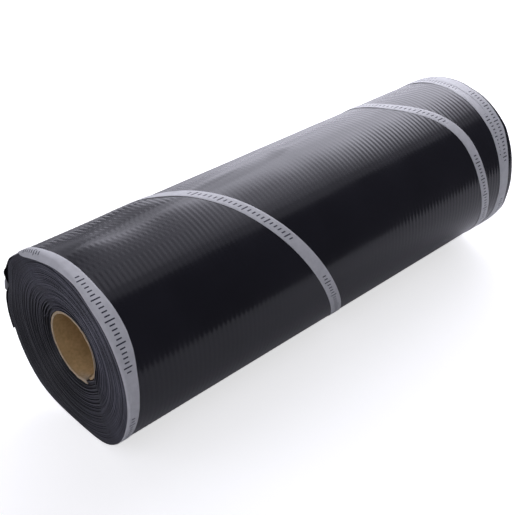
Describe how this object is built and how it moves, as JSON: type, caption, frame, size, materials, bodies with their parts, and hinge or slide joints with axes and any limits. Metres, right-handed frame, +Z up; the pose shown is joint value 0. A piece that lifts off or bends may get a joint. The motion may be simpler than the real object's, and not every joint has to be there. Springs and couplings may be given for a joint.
{
  "type": "roll of damp proof course",
  "caption": "Roll of black ribbed plastic damp proof course wound on an open card tube and bound with a slanting grey tape; laid in walls as a moisture barrier.",
  "frame": {"origin": "middle of the card tube's bore, half way along the roll", "axes": "+X along the roll from the end nearest the picture's viewer to the far end, +Z up as the roll lies"},
  "size_m": [0.45, 0.1565, 0.1564],
  "materials": {
    "sheet": "black polythene with fine ribs, satin",
    "card": "plain brown spiral-wound card",
    "tape": "pale grey plastic tape with plain dark ticks"
  },
  "bodies": {
    "root": {"sheet_roll": "sheet", "core_tube": "card", "binding_tape": "tape"}
  },
  "joints": []
}
